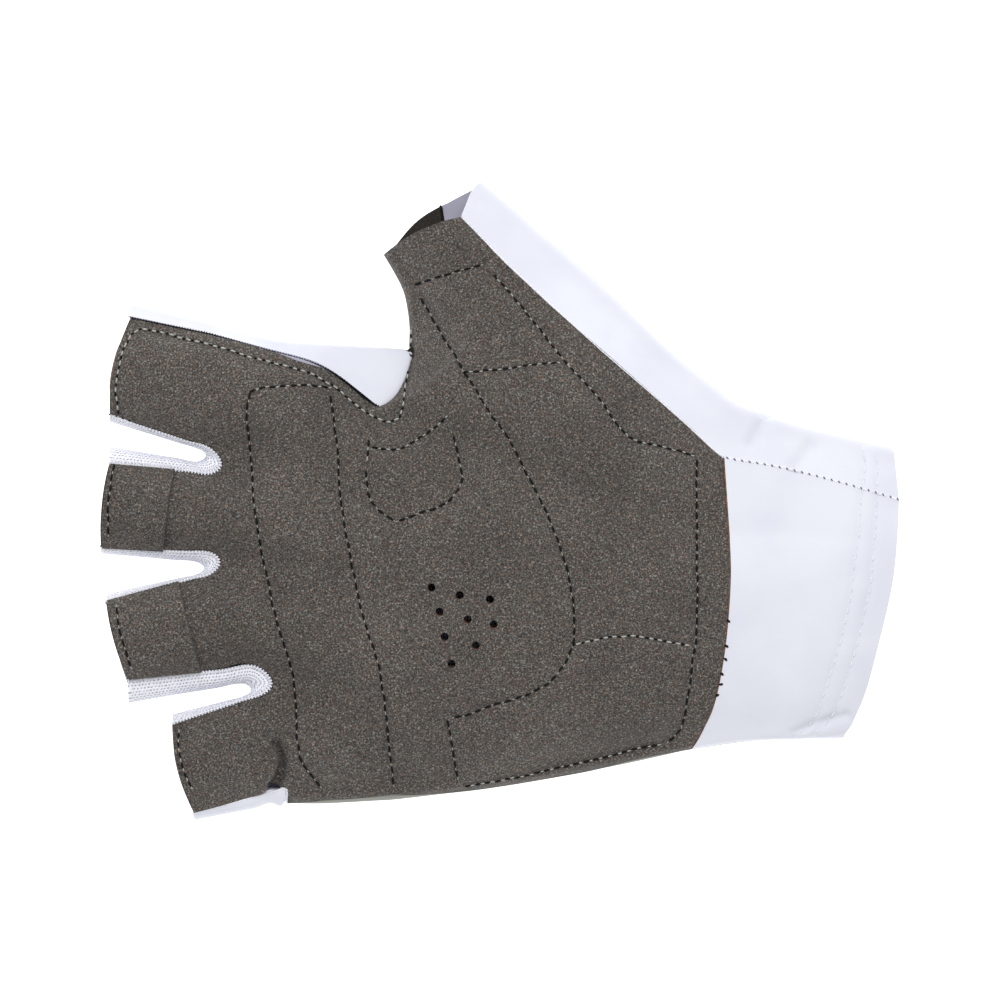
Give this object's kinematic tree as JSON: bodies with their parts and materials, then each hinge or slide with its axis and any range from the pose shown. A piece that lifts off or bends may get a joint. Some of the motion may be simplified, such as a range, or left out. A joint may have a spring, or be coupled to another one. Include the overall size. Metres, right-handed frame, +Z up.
{
  "type": "half-finger cycling glove",
  "caption": "Half-finger cycling glove lying palm up: suede palm with vent holes, mesh finger sides, fingertip pull tabs, smooth stretch back and a long cuff.",
  "frame": {"origin": "centre of the bounding box's base, on the surface that the glove lies on", "axes": "+X from the fingertips to the cuff, +Y to the thumb side, +Z up out of the palm"},
  "size_m": [0.1752, 0.1406, 0.0225],
  "materials": {
    "suede": "napped synthetic suede, matte",
    "side_trim": "smooth coated strip, low sheen",
    "mesh": "fine open mesh, matte",
    "lycra": "smooth stretch knit, soft sheen"
  },
  "bodies": {
    "root": {"palm_suede": "suede", "side_strip": "side_trim", "pull_tab_middle": "suede", "pull_tab_ring": "suede", "fourchette_index_middle": "mesh", "fourchette_middle_ring": "mesh", "fourchette_ring_little": "mesh", "cuff_palm_panel": "lycra", "back_lycra": "lycra"}
  },
  "joints": []
}
